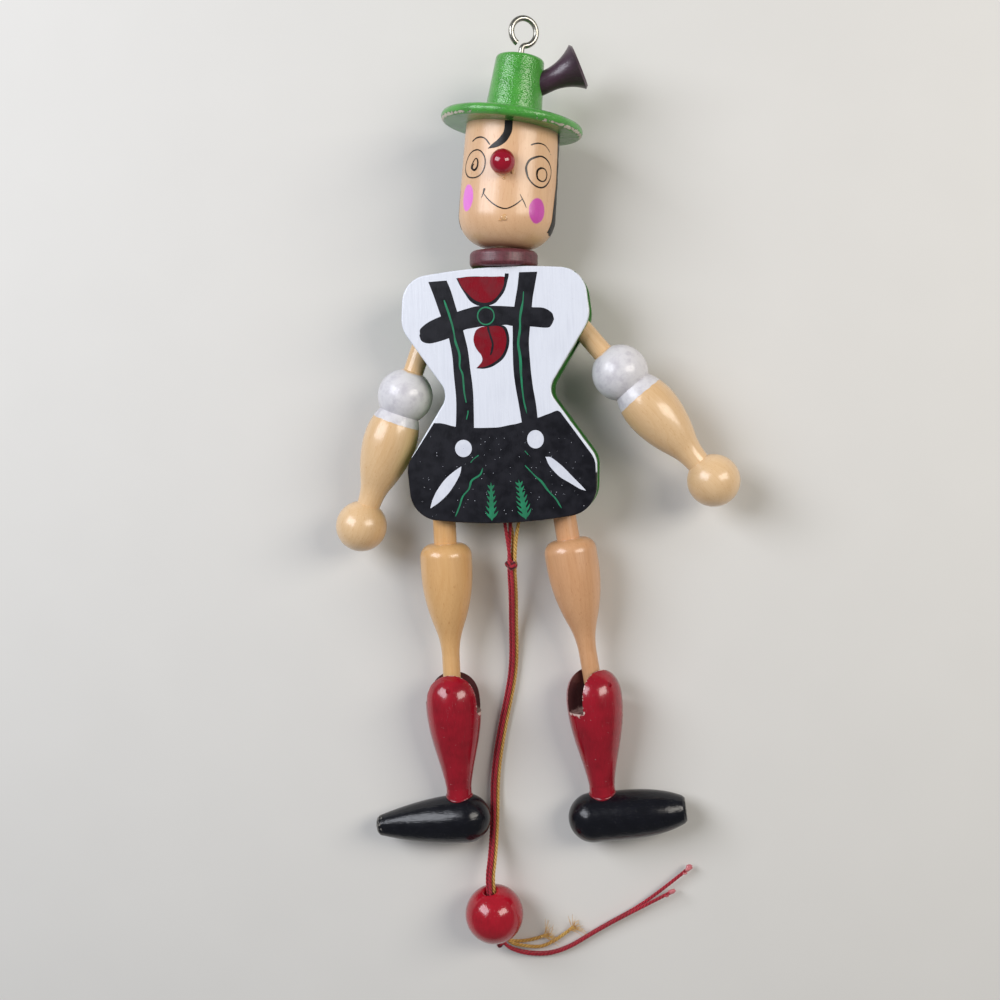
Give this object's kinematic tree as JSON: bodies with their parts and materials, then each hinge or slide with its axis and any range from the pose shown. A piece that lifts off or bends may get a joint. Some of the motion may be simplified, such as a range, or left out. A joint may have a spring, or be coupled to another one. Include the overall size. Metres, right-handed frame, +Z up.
{
  "type": "pull string jumping jack",
  "caption": "Wooden jumping jack toy with jointed limbs, a hat with a hanging eye, and a bead on strings that lifts the arms and legs.",
  "frame": {"origin": "on the table, under the middle of the figure without its strings", "axes": "+Y towards the head along the length of the lying figure, +X to the right of someone looking down at it, +Z up from the table"},
  "size_m": [0.1358, 0.3155, 0.0468],
  "materials": {
    "front_panel_paint": "gloss paint",
    "back_panel_paint": "gloss paint",
    "raw_wood": "raw",
    "face_wood": "lacquered",
    "limb_wood": "lacquered with painted ends",
    "hat_paint": "gloss paint",
    "brush_paint": "satin paint",
    "nose_paint": "gloss paint",
    "collar_paint": "satin paint",
    "stocking_paint": "gloss paint",
    "shoe_paint": "gloss paint",
    "bead_paint": "gloss paint",
    "nail_steel": "bright",
    "red_string": "twisted string",
    "yellow_string": "twisted string"
  },
  "bodies": {
    "torso_and_head": {"front_plate": "front_panel_paint", "back_plate": "back_panel_paint", "neck_block": "raw_wood", "neck_peg": "raw_wood", "collar_disc": "collar_paint", "head": "face_wood", "nose_bead": "nose_paint", "hat": "hat_paint", "hat_brush": "brush_paint", "screw_eye": "nail_steel", "shoulder_pin_left": "nail_steel", "shoulder_pin_right": "nail_steel", "hip_pin_left": "nail_steel", "hip_pin_right": "nail_steel"},
    "left_arm": {"arm_left": "limb_wood"},
    "right_arm": {"arm_right": "limb_wood"},
    "left_thigh": {"thigh_left": "limb_wood"},
    "right_thigh": {"thigh_right": "limb_wood"},
    "left_shin": {"shin_left": "stocking_paint", "shoe_left": "shoe_paint", "knee_pin_left": "nail_steel"},
    "right_shin": {"shin_right": "stocking_paint", "shoe_right": "shoe_paint", "knee_pin_right": "nail_steel"},
    "pull_string": {"red_cord_left": "red_string", "red_cord_right": "red_string", "yellow_cord_left": "yellow_string", "yellow_cord_right": "yellow_string", "pull_knot": "red_string", "pull_bead": "bead_paint", "bead_knot": "red_string"}
  },
  "joints": [
    {"name": "pull", "type": "slide", "parent": "torso_and_head", "child": "pull_string", "axis": [0, -1, 0], "range_m": [0, 0.01], "deforming": ["red_cord_left", "red_cord_right", "yellow_cord_left", "yellow_cord_right"]},
    {"name": "left_shoulder", "type": "hinge", "parent": "torso_and_head", "child": "left_arm", "pos_m": [-0.03366, 0.04222, 0.01949], "axis": [0.0025, -0.0653, 0.9979], "range_deg": [-72, 0]},
    {"name": "right_shoulder", "type": "hinge", "parent": "torso_and_head", "child": "right_arm", "pos_m": [0.00971, 0.04388, 0.01949], "axis": [0.0025, -0.0653, 0.9979], "range_deg": [0, 72]},
    {"name": "left_hip", "type": "hinge", "parent": "torso_and_head", "child": "left_thigh", "pos_m": [-0.03116, -0.01491, 0.01575], "axis": [0.0025, -0.0653, 0.9979], "range_deg": [-55, 0]},
    {"name": "right_hip", "type": "hinge", "parent": "torso_and_head", "child": "right_thigh", "pos_m": [0.00801, -0.0134, 0.01575], "axis": [0.0025, -0.0653, 0.9979], "range_deg": [0, 55]},
    {"name": "left_knee", "type": "hinge", "parent": "left_thigh", "child": "left_shin", "pos_m": [-0.02865, -0.08351, 0.01125], "axis": [0.0025, -0.0653, 0.9979], "range_deg": [-95, 0]},
    {"name": "right_knee", "type": "hinge", "parent": "right_thigh", "child": "right_shin", "pos_m": [0.01924, -0.08113, 0.01129], "axis": [0.7187, 0.0135, 0.6952], "range_deg": [-95, 0]}
  ],
  "couplings": [
    {"joint": "left_shoulder", "follows": "pull", "rad_per_m": -125.6},
    {"joint": "right_shoulder", "follows": "pull", "rad_per_m": 125.6},
    {"joint": "left_hip", "follows": "pull", "rad_per_m": -95.9},
    {"joint": "right_hip", "follows": "pull", "rad_per_m": 95.9}
  ]
}
